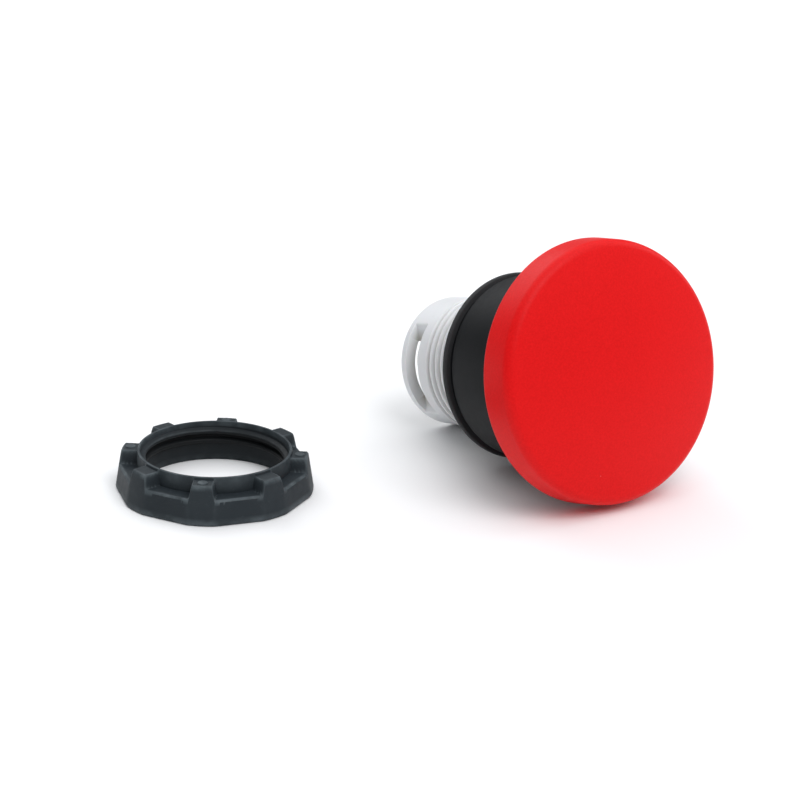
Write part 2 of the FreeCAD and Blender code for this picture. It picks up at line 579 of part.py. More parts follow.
def mounting_nut():
    """Dark grey nut: eight-sided drafted skirt, thin rim, eight drive lugs and a coarse moulded thread."""
    top_radius = NUT_BASE_RADIUS - NUT_DRAFT * NUT_HEIGHT
    cone = Part.makeCone(NUT_BASE_RADIUS, top_radius, NUT_HEIGHT)
    flats = Part.makeLoft([octagon(NUT_BASE_RADIUS * NUT_FLAT_SHARE, 0),
                           octagon(top_radius * NUT_FLAT_SHARE, NUT_HEIGHT)], True)
    outside = cone.common(flats)
    skirt = outside.common(ring(0, NUT_BASE_RADIUS + OVERCUT, 0, NUT_LEDGE_HEIGHT))
    lugs = [lug.common(outside) for lug in around(nut_lug(), NUT_LUG_COUNT)]
    rim = Part.makeCone(NUT_RIM_RADIUS, NUT_RIM_RADIUS - NUT_RIM_DRAFT, NUT_HEIGHT)
    rim = rim.makeFillet(NUT_RIM_EDGE, circles(rim, NUT_RIM_RADIUS - NUT_RIM_DRAFT, NUT_HEIGHT))
    solid = skirt.fuse(lugs + [rim])

    root = NUT_MINOR_RADIUS + THREAD_DEPTH + FIT_CLEARANCE
    bore = turned([
        (0, -OVERCUT), (NUT_COUNTERBORE_RADIUS, -OVERCUT), (NUT_COUNTERBORE_RADIUS, NUT_COUNTERBORE_DEPTH),
        (root, NUT_COUNTERBORE_DEPTH), (root, NUT_HEIGHT - NUT_LEAD_DEPTH),
        (NUT_LEAD_RADIUS, NUT_HEIGHT), (NUT_LEAD_RADIUS, NUT_HEIGHT + OVERCUT), (0, NUT_HEIGHT + OVERCUT)])
    ridge = nut_thread(root)
    pip = ring(0, NUT_PIP_RADIUS, NUT_LUG_HEIGHT - NUT_PIP_HEIGHT, NUT_LUG_HEIGHT + NUT_PIP_HEIGHT)
    pip.translate(Vector(NUT_RIM_RADIUS + NUT_PIP_GAP + NUT_PIP_RADIUS, 0, 0))
    return solid.cut(bore).fuse([ridge] + around(pip, NUT_LUG_COUNT // 2)).removeSplitter()


def nut_thread(root):
    """The nut's moulded thread: a blunt-ended ridge up the bore, sunk a little into its wall."""
    sunk = 0.2
    slope = (THREAD_ROOT_HALF - THREAD_CREST_HALF) / THREAD_DEPTH
    half_low = THREAD_ROOT_HALF + slope * sunk
    corners = [Vector(root + sunk, 0, -half_low), Vector(root - THREAD_DEPTH, 0, -THREAD_CREST_HALF),
               Vector(root - THREAD_DEPTH, 0, THREAD_CREST_HALF), Vector(root + sunk, 0, half_low)]
    low = NUT_COUNTERBORE_DEPTH + half_low
    high = NUT_HEIGHT - NUT_LEAD_DEPTH - half_low
    ridge = swept(Part.makeHelix(THREAD_PITCH, high - low, root), Part.makePolygon(corners + corners[:1]))
    ridge.translate(Vector(0, 0, low))
    return ridge


# ---------------------------------------------------------------- laying both on the bench
HEAD_PARTS = [mushroom_cap, cap_insert, cap_screw, screw_washer, plunger, plunger_ring_seal, contact_actuator,
              collar, wiper_ring, panel_gasket, flange_seal, threaded_body, spring_seat_washer, return_spring,
              latch_spring, latch_keeper, retaining_ring]
NUT_PARTS = [mounting_nut]


def lying_tilt():
    """Angle of the head's axis above the bench, lying on the cap's rim and the tail's end, in radians."""
    return math.atan2(CAP_RADIUS - TAIL_RADIUS, CAP_RIM_HEIGHT + TAIL_LENGTH)


def seat_height():
    """Height of the seat face's centre above the bench."""
    tilt = lying_tilt()
    edge = REST_EDGE_RADIUS
    return edge + (CAP_RADIUS - edge) * math.cos(tilt) - (CAP_RIM_HEIGHT + edge) * math.sin(tilt)


def placements():
    """Placements of the head and of the nut, with the origin under the middle of the pair's bounding box."""
    head = Placement(Vector(0, 0, seat_height()), Rotation(Vector(1, 0, 0), 90 - math.degrees(lying_tilt())))
    nut = Placement(Vector(-NUT_SIDE_OFFSET, NUT_BACK_OFFSET, 0), Rotation(Vector(0, 0, 1), NUT_TURN))
    outline = [placed(mushroom_cap(), head), placed(threaded_body(), head), placed(mounting_nut(), nut)]
    box = Part.makeCompound(outline).optimalBoundingBox(False)
    shift = Vector(-box.Center.x, -box.Center.y, 0)
    return [Placement(shift, Rotation()).multiply(place) for place in (head, nut)]


def placed(shape, place):
    """The one solid of a shape, moved by a placement."""
    solid = shape.Solids[0].copy()
    solid.Placement = place.multiply(solid.Placement)
    return solid


def main():
    os.makedirs("parts", exist_ok=True)
    head, nut = placements()
    for makers, place in ((HEAD_PARTS, head), (NUT_PARTS, nut)):
        for make in makers:
            placed(make(), place).exportStep(os.path.join("parts", make.__name__ + ".step"))


if __name__ == "__main__":
    main()
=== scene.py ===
"""A red push-pull emergency stop head lying on a white bench beside its loose dark grey mounting nut.

Lengths in this script are millimetres in two local frames, and become metres in the frame of the CAD model
when a mesh is made. In the head's frame z = 0 is the face that seats on the panel and +z points out of the
button's face. In the nut's frame z = 0 is the bench.
"""
import json
import math

import bmesh
import bpy
import numpy as np
from mathutils import Matrix, Vector


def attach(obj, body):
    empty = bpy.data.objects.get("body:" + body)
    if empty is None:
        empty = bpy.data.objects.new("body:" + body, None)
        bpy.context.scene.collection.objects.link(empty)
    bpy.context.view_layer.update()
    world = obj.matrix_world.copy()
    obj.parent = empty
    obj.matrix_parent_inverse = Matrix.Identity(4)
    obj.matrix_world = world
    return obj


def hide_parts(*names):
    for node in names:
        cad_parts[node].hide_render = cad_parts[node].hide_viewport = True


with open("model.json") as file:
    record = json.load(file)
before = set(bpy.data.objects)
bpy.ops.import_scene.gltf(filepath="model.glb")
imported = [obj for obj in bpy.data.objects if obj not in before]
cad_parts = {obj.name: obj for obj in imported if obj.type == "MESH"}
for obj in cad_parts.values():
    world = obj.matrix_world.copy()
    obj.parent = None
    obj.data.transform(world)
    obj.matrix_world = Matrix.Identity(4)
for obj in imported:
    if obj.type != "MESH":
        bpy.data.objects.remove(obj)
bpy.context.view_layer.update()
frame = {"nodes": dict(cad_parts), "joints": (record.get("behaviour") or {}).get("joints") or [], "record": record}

MM = 0.001
FULL_TURN = 2 * math.pi

# ---------------------------------------------------------------- sizes, shared with the CAD model
CAP_RADIUS = 20.0
CAP_RIM = 18.5
CAP_SIDE_TOP = 24.1
CAP_TOP_RADIUS = 19.7
CAP_RISE = 2.0
CAP_WALL = 1.8
CAP_EDGE = 1.6
RIB_COUNT = 8
RIB_THICKNESS = 1.2
RIB_EDGE = 0.12
STAR_RIB = (3.0, 12.2, 21.0)         # inner end, outer end and foot of a rib over the plunger
GUSSET = (14.9, 18.6, 19.3)          # the same of a gusset at the skirt
GUSSET_DROP = 0.9                    # of its top below the ceiling

COLLAR_RADIUS = 14.2
COLLAR_FRONT = 17.46
COLLAR_BORE = 12.75
COLLAR_DRAFT = 0.2
COLLAR_LIP_TOP = 2.5
COLLAR_NECK_GAP = 0.1
SHADOW_GROOVE_DEPTH = 0.55
SHADOW_GROOVE_LENGTH = 1.1
GASKET_RADIUS = 14.6
GASKET_TOP = 1.0
GASKET_ROUND = 0.3
GASKET_NECK_GAP = 0.05

NECK_RADIUS = 11.1
NECK_ROOT = 10.85
NECK_LENGTH = 2.2
CREST_RADIUS = 10.9
THREAD_DEPTH = 0.75
PITCH = 1.5
THREAD_END = 10.3
THREAD_FLOOR_HALF = 0.18
THREAD_FLANK = 0.36
TAIL_RADIUS = 10.4
TAIL_BORE = 8.6
TAIL_LENGTH = 18.2
TAIL_ROUND = ((0.0, 0.4), (0.03, 0.25), (0.12, 0.11), (0.25, 0.03), (0.4, 0.0))   # from the end, and inward
WINDOW_LOW = -16.6
WINDOW_HIGH = -13.4
WINDOW_CHORD = 7.4
WINDOW_LIP = 0.12
FLANGE_RADIUS = 12.65
FLANGE_REAR = 3.0
FLANGE_FRONT = 4.6
TUBE_RADIUS = 9.75
TUBE_BORE = 8.35
TUBE_TOP = 12.5
WEB_FRONT = 1.5
WEB_REAR = -4.0
GUIDE_BORE = 5.35
CLIP_GROOVE_RADIUS = 9.1
CLIP_GROOVE_FRONT = -7.5
CLIP_GROOVE_REAR = -8.4

NUT_TURN = 53.0
NUT_HEIGHT = 6.4
NUT_RADIUS = 15.0
NUT_DRAFT = 0.16
NUT_FLAT_SHARE = 0.969
LEDGE = 3.9
LUG_TOP = 6.0
LUG_HALF_BASE = 1.85
LUG_HALF_TOP = 1.6
RIM_RADIUS = 11.9
RIM_TOP_RADIUS = 11.6
RIM_BORE = 11.25
RIDGE_ROOT = 11.12
RIDGE_CREST = 10.38
RIDGE_REAR = 3.34
RIDGE_FRONT = (5.3, 5.65)            # where the ridge fades out
COUNTERBORE_DEPTH = 2.7
BORE_LEAD = 0.15
LUG_MIDDLE = 13.0                    # radius at which a lug's width is an angle
LUG_BLEND = 0.12
LUG_EDGE = 0.3
LUGS = 8
SKIRT_HEIGHTS = (0.0, 0.06, 0.2, 0.45, 1.2, 2.2, 3.1, 3.6)
SKIRT_ROUND = (0.35, 0.22, 0.08, 0, 0, 0, 0, 0)        # taken off the radius at those heights
SKIRT_BLEND = 0.05
PIP_RADIUS = 0.75
PIP_HEIGHT = 0.15
PIP_REACH = 12.8

# ---------------------------------------------------------------- places, read from the frame
joints = {joint["name"]: joint for joint in frame["joints"]}
neck = next(mount for mount in frame["record"]["mounts"] if mount["name"] == "panel_neck")
inward = Vector(joints["head_push"]["axis"])
seat_centre = Vector(neck["pos_m"]) - inward * (neck["dims"]["length_mm"] * MM / 2)
nut_centre = Vector(joints["nut_turn"]["pos_m"])


def local_frame(origin, x_axis, z_axis):
    """The matrix from a local frame in millimetres to the model's frame in metres."""
    y_axis = z_axis.cross(x_axis)
    matrix = Matrix((x_axis, y_axis, z_axis)).transposed().to_4x4()
    matrix.translation = origin
    return matrix @ Matrix.Scale(MM, 4)


HEAD = local_frame(seat_centre, Vector((1, 0, 0)), -inward)
NUT = local_frame(nut_centre, Vector((math.cos(math.radians(NUT_TURN)), math.sin(math.radians(NUT_TURN)), 0)),
                  Vector((0, 0, 1)))


# ---------------------------------------------------------------- material nodes
class Look:
    """A material under construction, with short calls for its nodes."""

    def __init__(self, name):
        self.material = bpy.data.materials.new(name)
        self.material.use_nodes = True
        self.tree = self.material.node_tree
        self.shader = self.tree.nodes["Principled BSDF"]
        self.place = self.node("ShaderNodeTexCoord").outputs["Object"]

    def node(self, kind, **settings):
        made = self.tree.nodes.new(kind)
        for key, value in settings.items():
            setattr(made, key, value)
        return made

    def link(self, source, target):
        self.tree.links.new(source, target)

    def set(self, **values):
        for key, value in values.items():
            self.shader.inputs[key.replace("_", " ")].default_value = value

    def noise(self, per_mm, detail=2.0, roughness=0.5, stretch=(1, 1, 1)):
        """Noise with so many features to the millimetre."""
        mapping = self.node("ShaderNodeMapping")
        mapping.inputs["Scale"].default_value = [s / MM for s in stretch]
        self.link(self.place, mapping.inputs["Vector"])
        noise = self.node("ShaderNodeTexNoise")
        noise.inputs["Scale"].default_value = per_mm
        noise.inputs["Detail"].default_value = detail
        noise.inputs["Roughness"].default_value = roughness
        self.link(mapping.outputs["Vector"], noise.inputs["Vector"])
        return noise.outputs["Fac"]

    def spots(self, per_mm, size):
        """1 in scattered small spots, 0 elsewhere. size is a share of the cell."""
        mapping = self.node("ShaderNodeMapping")
        mapping.inputs["Scale"].default_value = [1 / MM] * 3
        self.link(self.place, mapping.inputs["Vector"])
        cells = self.node("ShaderNodeTexVoronoi")
        cells.inputs["Scale"].default_value = per_mm
        self.link(mapping.outputs["Vector"], cells.inputs["Vector"])
        return self.ramp(cells.outputs["Distance"], (size, 1.0), (size * 1.3, 0.0))

    def attribute(self, name):
        """A value that the mesh carries at its vertices."""
        return self.node("ShaderNodeAttribute", attribute_name=name).outputs["Fac"]

    def ramp(self, source, *stops):
        """Maps a value through grey stops of (position, level)."""
        ramp = self.node("ShaderNodeValToRGB")
        elements = ramp.color_ramp.elements
        while len(elements) < len(stops):
            elements.new(0.5)
        for element, (position, level) in zip(elements, stops):
            element.position = position
            element.color = (level, level, level, 1)
        self.link(source, ramp.inputs["Fac"])
        return ramp.outputs["Color"]

    def mix(self, factor, low, high):
        """A colour between two others. Each may be a colour or a socket."""
        mix = self.node("ShaderNodeMix", data_type="RGBA")
        if isinstance(factor, (int, float)):
            mix.inputs["Factor"].default_value = factor
        else:
            self.link(factor, mix.inputs["Factor"])
        for key, value in (("A", low), ("B", high)):
            socket = next(s for s in mix.inputs if s.name == key and s.type == "RGBA")
            if isinstance(value, tuple):
                socket.default_value = (*value, 1)
            else:
                self.link(value, socket)
        return next(s for s in mix.outputs if s.type == "RGBA")

    def calc(self, operation, a, b):
        made = self.node("ShaderNodeMath", operation=operation)
        for socket, value in zip(made.inputs, (a, b)):
            if isinstance(value, (int, float)):
                socket.default_value = value
            else:
                self.link(value, socket)
        return made.outputs["Value"]

    def color(self, socket):
        self.link(socket, self.shader.inputs["Base Color"])

    def rough(self, source, low, high):
        """Roughness between two values, driven by a 0 to 1 source."""
        spread = self.node("ShaderNodeMapRange")
        spread.inputs["To Min"].default_value = low
        spread.inputs["To Max"].default_value = high
        self.link(source, spread.inputs["Value"])
        self.link(spread.outputs["Result"], self.shader.inputs["Roughness"])

    def bump(self, *layers):
        """Stacked bumps of (height socket, depth in millimetres, strength)."""
        normal = None
        for height, depth, strength in layers:
            bump = self.node("ShaderNodeBump")
            bump.inputs["Distance"].default_value = depth * MM
            bump.inputs["Strength"].default_value = strength
            self.link(height, bump.inputs["Height"])
            if normal is not None:
                self.link(normal, bump.inputs["Normal"])
            normal = bump.outputs["Normal"]
        self.link(normal, self.shader.inputs["Normal"])


def red_plastic():
    """Satin red with a spark-eroded grain."""
    look = Look("red_plastic")
    grain = look.noise(3.2, detail=3.0, roughness=0.65)
    cloud = look.noise(0.06)
    tone = look.mix(cloud, (0.68, 0.0035, 0.0042), (0.74, 0.0045, 0.0052))
    tone = look.mix(look.ramp(grain, (0.35, 0.0), (0.7, 1.0)), tone, (0.80, 0.0075, 0.0085))
    dust = look.calc("MULTIPLY", look.spots(0.33, 0.035), look.ramp(look.noise(0.09), (0.56, 0.0), (0.60, 0.8)))
    look.color(look.mix(dust, tone, (0.9, 0.62, 0.6)))
    look.rough(look.noise(1.2, detail=4.0), 0.36, 0.50)
    look.bump((grain, 0.02, 0.35), (look.noise(0.25), 0.04, 0.15))
    look.set(Specular_IOR_Level=0.13, Subsurface_Weight=0.04, Subsurface_Scale=0.6 * MM)
    look.shader.inputs["Subsurface Radius"].default_value = (1.0, 0.1, 0.05)
    return look.material


def black_plastic():
    """Satin black moulding, slightly blue."""
    look = Look("black_plastic")
    grain = look.noise(4.0, detail=3.0, roughness=0.6)
    tone = look.mix(look.noise(0.08), (0.0055, 0.0062, 0.0072), (0.0080, 0.0087, 0.0100))
    dust = look.calc("MULTIPLY", look.spots(0.4, 0.03), look.ramp(look.noise(0.12), (0.55, 0.0), (0.6, 0.6)))
    look.color(look.mix(dust, tone, (0.30, 0.30, 0.31)))
    look.rough(look.noise(1.0, detail=3.0), 0.40, 0.52)
    look.bump((grain, 0.012, 0.3))
    look.set(Specular_IOR_Level=0.11)
    return look.material


def dull_rubber(name, dark, light):
    """Moulded rubber with a faint bloom."""
    look = Look(name)
    look.color(look.mix(look.noise(0.7, detail=4.0), dark, light))
    look.rough(look.noise(1.5), 0.62, 0.80)
    look.bump((look.noise(6.0, detail=2.0), 0.015, 0.3))
    return look.material


def light_plastic():
    """Smooth light grey moulding, with a painted warm shade in its hollows and a painted highlight along its edges.
    """
    look = Look("light_grey_plastic")
    tone = look.mix(look.noise(0.10), (0.735, 0.745, 0.760), (0.775, 0.780, 0.790))
    tone = look.mix(look.ramp(look.noise(0.9, detail=4.0), (0.60, 0.0), (0.75, 0.25)), tone, (0.66, 0.65, 0.62))
    # Painted shade, slightly warm, in the thread's grooves and inside the bores, where the "tone" attribute is high.
    tone = look.mix(look.ramp(look.attribute("tone"), (0.1, 0.0), (1.0, 0.85)), tone, (0.42, 0.40, 0.35))
    # Painted highlight: paler along convex edges and thread crests, where the "edge" attribute is high.
    look.color(look.mix(look.ramp(look.attribute("edge"), (0.2, 0.0), (1.0, 0.6)), tone, (0.85, 0.86, 0.86)))
    look.rough(look.noise(0.8, detail=3.0), 0.34, 0.46)
    look.bump((look.noise(5.0), 0.008, 0.25))
    look.set(Subsurface_Weight=0.06, Subsurface_Scale=0.8 * MM)
    return look.material


def slate_plastic():
    """Dark slate grey glass-filled plastic, paler along its edges in patches, partly as wear and partly as a painted
    highlight, with a painted shade inside its bore.
    """
    look = Look("slate_plastic")
    grain = look.noise(3.5, detail=4.0, roughness=0.65)
    tone = look.mix(look.noise(0.22, detail=3.0), (0.017, 0.0225, 0.0270), (0.027, 0.0345, 0.0400))
    fibres = look.noise(2.2, detail=2.0, stretch=(1, 1, 3))
    tone = look.mix(look.ramp(fibres, (0.62, 0.0), (0.74, 0.35)), tone, (0.050, 0.062, 0.069))
    # Paler along convex edges, broken into patches: partly wear, partly a painted highlight.
    edge_patches = look.ramp(look.noise(0.5, detail=3.0), (0.35, 0.2), (0.7, 0.9))
    worn_and_highlit_edges = look.calc("MULTIPLY", look.attribute("edge"), edge_patches)
    tone = look.mix(worn_and_highlit_edges, tone, (0.10, 0.12, 0.13))
    # Painted shade inside the nut's bore, where the "tone" attribute is high.
    look.color(look.mix(look.attribute("tone"), tone, (0.006, 0.0075, 0.0085)))
    look.rough(look.noise(0.9, detail=3.0), 0.46, 0.62)
    look.bump((grain, 0.03, 0.35), (look.noise(0.5, detail=2.0), 0.05, 0.2))
    look.set(Specular_IOR_Level=0.18)
    return look.material


def grey_plastic(name, dark, light):
    """Plain moulded plastic for the pieces inside."""
    look = Look(name)
    look.color(look.mix(look.noise(0.2, detail=3.0), dark, light))
    look.rough(look.noise(1.0, detail=3.0), 0.38, 0.52)
    look.bump((look.noise(5.0), 0.012, 0.3))
    return look.material


def plated_steel(name, dark, light, low, high):
    """Metal with fine drawn or turned streaks."""
    look = Look(name)
    streaks = look.noise(3.0, detail=4.0, stretch=(1, 4, 1))
    look.color(look.mix(streaks, dark, light))
    look.rough(look.noise(1.5, detail=3.0), low, high)
    look.bump((streaks, 0.006, 0.3))
    look.set(Metallic=1.0)
    return look.material


# ---------------------------------------------------------------- mesh making
def rounded(corners, segments=5):
    """An outline from corners of (radius, height, rounding). Each rounding is an arc between the two sides."""
    points = []
    count = len(corners)
    for i, (x, y, rounding) in enumerate(corners):
        here = np.array((x, y))
        if rounding <= 0:
            points.append(here)
            continue
        before = np.array(corners[i - 1][:2]) - here
        after = np.array(corners[(i + 1) % count][:2]) - here
        before /= np.linalg.norm(before)
        after /= np.linalg.norm(after)
        half = math.acos(max(-1.0, min(1.0, float(before @ after)))) / 2
        bisector = (before + after) / np.linalg.norm(before + after)
        centre = here + bisector * rounding / math.sin(half)
        start = here + before * rounding / math.tan(half) - centre
        end = here + after * rounding / math.tan(half) - centre
        sweep = math.atan2(start[0] * end[1] - start[1] * end[0], float(start @ end))
        for step in range(segments + 1):
            turn = sweep * step / segments
            c, s = math.cos(turn), math.sin(turn)
            points.append(centre + np.array((start[0] * c - start[1] * s, start[0] * s + start[1] * c)))
    return np.array(points)


def convexity(bm):
    """How sharply the surface turns outward at each vertex, in degrees between neighbouring faces."""
    return [max([0.0, *(math.degrees(edge.calc_face_angle_signed(0)) for edge in vertex.link_edges)])
            for vertex in bm.verts]


def store(mesh, name, values):
    """Keeps a value at each vertex for the material to read."""
    mesh.attributes.new(name, "FLOAT", "POINT").data.foreach_set("value", np.array(values, dtype=float))


def mesh_piece(name, vertices, faces, place, material, sharp=38, tone=None):
    """A mesh object with smooth shading, split at edges sharper than the given angle.

    Its vertices carry "edge", how convex the surface is, and "tone", what the given function of radius and
    height says.
    """
    mesh = bpy.data.meshes.new(name)
    mesh.from_pydata([tuple(v) for v in vertices], [], faces)
    bm = bmesh.new()
    bm.from_mesh(mesh)
    bmesh.ops.remove_doubles(bm, verts=bm.verts, dist=0.0005)
    bmesh.ops.recalc_face_normals(bm, faces=bm.faces)
    edges = convexity(bm)
    bm.to_mesh(mesh)
    bm.free()
    store(mesh, "edge", np.clip(np.array(edges) / 20, 0, 1))
    if tone:
        local = np.array([vertex.co for vertex in mesh.vertices])
        store(mesh, "tone", tone(np.hypot(local[:, 0], local[:, 1]), local[:, 2]))
    mesh.transform(place)
    mesh.polygons.foreach_set("use_smooth", [True] * len(mesh.polygons))
    mesh.set_sharp_from_angle(angle=math.radians(sharp))
    mesh.materials.append(material)
    piece = bpy.data.objects.new(name, mesh)
    bpy.context.scene.collection.objects.link(piece)
    return piece


def turned_grid(name, radius, height, place, material, angles=None, closed=True, sharp=38, tone=None, open_at=None):
    """A piece from grids of radius and height, one row for each angle about the local z axis.

    A face whose middle open_at(angle, height) says is in an opening is left out.
    """
    steps, points = radius.shape
    if angles is None:
        angles = np.arange(steps) * FULL_TURN / steps
    vertices = np.stack([radius * np.cos(angles)[:, None], radius * np.sin(angles)[:, None], height], -1)
    faces = []
    for i in range(steps):
        row, following = i * points, (i + 1) % steps * points
        for j in range(points if closed else points - 1):
            k = (j + 1) % points
            middle = (angles[i] + FULL_TURN / steps / 2, (height[i, j] + height[i, k]) / 2)
            if open_at is None or not open_at(*middle):
                faces.append((row + j, following + j, following + k, row + k))
    return mesh_piece(name, vertices.reshape(-1, 3), faces, place, material, sharp, tone)


def turned(name, outline, place, material, steps=256, sharp=38):
    """A piece of revolution from a closed outline."""
    radius = np.tile(outline[:, 0], (steps, 1))
    height = np.tile(outline[:, 1], (steps, 1))
    return turned_grid(name, radius, height, place, material, sharp=sharp)


def crown(radius, shoulder, rise, rim_share, count):
    """Points of a spherical crown, from a share of its radius in to its middle."""
    sphere = (radius ** 2 + rise ** 2) / (2 * rise)
    r = np.linspace(radius * rim_share, 0, count)
    z = shoulder + rise - sphere + np.sqrt(sphere ** 2 - r ** 2)
    return np.stack([r, z], -1)


# ---------------------------------------------------------------- the head
def cap_outline():
    """Half section of the cap's shell, from the middle of its ceiling round the rim to the middle of its crown."""
    sphere = (CAP_TOP_RADIUS ** 2 + CAP_RISE ** 2) / (2 * CAP_RISE)
    slope = CAP_TOP_RADIUS / sphere
    inner_radius = CAP_TOP_RADIUS - CAP_WALL
    ceiling = crown(inner_radius, CAP_SIDE_TOP - CAP_WALL, CAP_RISE, 0.94, 8)[::-1]
    crown_points = crown(CAP_TOP_RADIUS, CAP_SIDE_TOP, CAP_RISE, 0.90, 40)
    sides = rounded([
        (ceiling[-1][0], ceiling[-1][1], 0),
        (inner_radius, CAP_SIDE_TOP - CAP_WALL, 0.5),
        (CAP_RADIUS - CAP_WALL, CAP_RIM, 0.35),
        (CAP_RADIUS, CAP_RIM, 0.4),
        (CAP_TOP_RADIUS, CAP_SIDE_TOP, CAP_EDGE),
        (CAP_TOP_RADIUS - 4, CAP_SIDE_TOP + 4 * slope, 0)], segments=10)
    return np.concatenate([ceiling[:-1], sides[:-1], crown_points])


def cap(material):
    """The cap's shell and the ribs under it."""
    outline = cap_outline()
    steps = 288
    radius = np.tile(outline[:, 0], (steps, 1))
    height = np.tile(outline[:, 1], (steps, 1))
    shell = turned_grid("cap_shell", radius, height, HEAD, material, closed=False)
    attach(shell, "push_head")
    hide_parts("mushroom_cap")
    return [shell, cap_ribs(material)]


def cap_ribs(material):
    """Ribs inside the cap: a star over the plunger and gussets at the skirt."""
    bm = bmesh.new()
    ceiling = CAP_SIDE_TOP - CAP_WALL / 2
    for index in range(RIB_COUNT):
        turn = Matrix.Rotation(FULL_TURN * index / RIB_COUNT, 4, "Z")
        for start, end, low, tip in ((*STAR_RIB, ceiling), (*GUSSET, ceiling - GUSSET_DROP)):
            corners = [(x, side * RIB_THICKNESS / 2, z) for x in (start, end)
                       for side in (-1, 1) for z in (low, tip)]
            made = [bm.verts.new(turn @ Vector(c)) for c in corners]
            bmesh.ops.convex_hull(bm, input=made)
    mesh = bpy.data.meshes.new("cap_ribs")
    bm.to_mesh(mesh)
    bm.free()
    mesh.transform(HEAD)
    mesh.materials.append(material)
    ribs = bpy.data.objects.new("cap_ribs", mesh)
    bpy.context.scene.collection.objects.link(ribs)
    edge = ribs.modifiers.new("edges", "BEVEL")
    edge.width = RIB_EDGE * MM
    edge.segments = 2
    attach(ribs, "push_head")
    return ribs


def collar(material):
    """The black bezel tube, undercut beside the gasket."""
    neck = NECK_RADIUS + COLLAR_NECK_GAP
    groove = COLLAR_RADIUS - SHADOW_GROOVE_DEPTH
    shoulder = GASKET_TOP + SHADOW_GROOVE_LENGTH
    outline = rounded([
        (neck, COLLAR_LIP_TOP, 0), (neck, GASKET_TOP, 0), (groove, GASKET_TOP, 0),
        (groove, shoulder, 0.12), (COLLAR_RADIUS, shoulder, 0.15),
        (COLLAR_RADIUS - COLLAR_DRAFT, COLLAR_FRONT, 0.4), (COLLAR_BORE, COLLAR_FRONT, 0.2),
        (COLLAR_BORE, COLLAR_LIP_TOP, 0)])
    piece = turned("collar_tube", outline, HEAD, material)
    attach(piece, "head_housing")
    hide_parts("collar")
    return piece


def gasket(material):
    """The panel gasket, a rounded rubber ring."""
    bore = NECK_RADIUS + GASKET_NECK_GAP
    outline = rounded([(bore, 0, 0), (GASKET_RADIUS, 0, GASKET_ROUND), (GASKET_RADIUS, GASKET_TOP, GASKET_ROUND),
                       (bore, GASKET_TOP, 0)])
    piece = turned("gasket_ring", outline, HEAD, material)
    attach(piece, "head_housing")
    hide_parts("panel_gasket")
    return piece


def thread_form(height, angle, groove_low):
    """1 on a crest and 0 in a groove, with soft corners, for a right-hand thread."""
    phase = (height - groove_low) / PITCH - angle / FULL_TURN
    from_groove = np.abs(phase - np.round(phase)) * PITCH
    rising = np.clip((from_groove - THREAD_FLOOR_HALF) / THREAD_FLANK, 0, 1)
    return rising * rising * (3 - 2 * rising) * 0.35 + rising * 0.65


def in_window(angle, height):
    """True in the part of a window that opens into the tail's bore."""
    return WINDOW_LOW < height < WINDOW_HIGH and abs(math.cos(angle)) > WINDOW_CHORD / TAIL_BORE and height < 0


